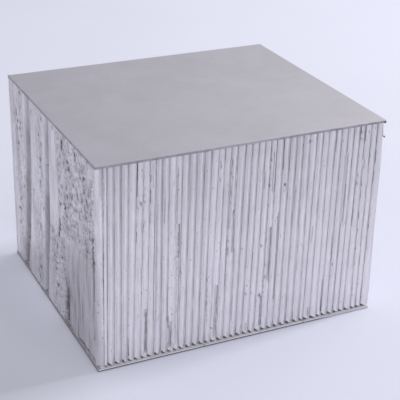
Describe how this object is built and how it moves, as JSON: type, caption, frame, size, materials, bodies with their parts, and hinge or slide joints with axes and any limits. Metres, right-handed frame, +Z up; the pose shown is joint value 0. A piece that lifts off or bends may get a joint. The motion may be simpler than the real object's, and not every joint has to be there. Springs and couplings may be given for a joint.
{
  "type": "honeycomb panel",
  "caption": "Block of aluminium honeycomb sandwich panel: two thin flat skins bonded to a tall core of corrugated foil, its cut edges bent over and torn.",
  "frame": {"origin": "centre of the underside of the bottom skin", "axes": "+X across the foil ribbons, +Y along them from the front face to the back face, +Z up along the cells from the bottom skin to the top skin"},
  "size_m": [0.143, 0.124, 0.1],
  "materials": {
    "skin": "satin mill finish sheet, slightly grey",
    "foil": "bright foil, creased and torn along its cut edges",
    "adhesive": "cured film adhesive"
  },
  "bodies": {
    "root": {"bottom_skin": "skin", "bottom_adhesive_film": "adhesive", "ribbon_01": "foil", "ribbon_02": "foil", "ribbon_03": "foil", "ribbon_04": "foil", "ribbon_05": "foil", "ribbon_06": "foil", "ribbon_07": "foil", "ribbon_08": "foil", "ribbon_09": "foil", "ribbon_10": "foil", "ribbon_11": "foil", "ribbon_12": "foil", "ribbon_13": "foil", "ribbon_14": "foil", "ribbon_15": "foil", "ribbon_16": "foil", "ribbon_17": "foil", "ribbon_18": "foil", "ribbon_19": "foil", "ribbon_20": "foil", "ribbon_21": "foil", "ribbon_22": "foil", "ribbon_23": "foil", "ribbon_24": "foil", "ribbon_25": "foil", "ribbon_26": "foil", "ribbon_27": "foil", "ribbon_28": "foil", "ribbon_29": "foil", "ribbon_30": "foil", "ribbon_31": "foil", "ribbon_32": "foil", "ribbon_33": "foil", "ribbon_34": "foil", "ribbon_35": "foil", "ribbon_36": "foil", "ribbon_37": "foil", "ribbon_38": "foil", "ribbon_39": "foil", "ribbon_40": "foil", "ribbon_41": "foil", "ribbon_42": "foil", "ribbon_43": "foil", "ribbon_44": "foil", "top_adhesive_film": "adhesive", "top_skin": "skin"}
  },
  "joints": []
}
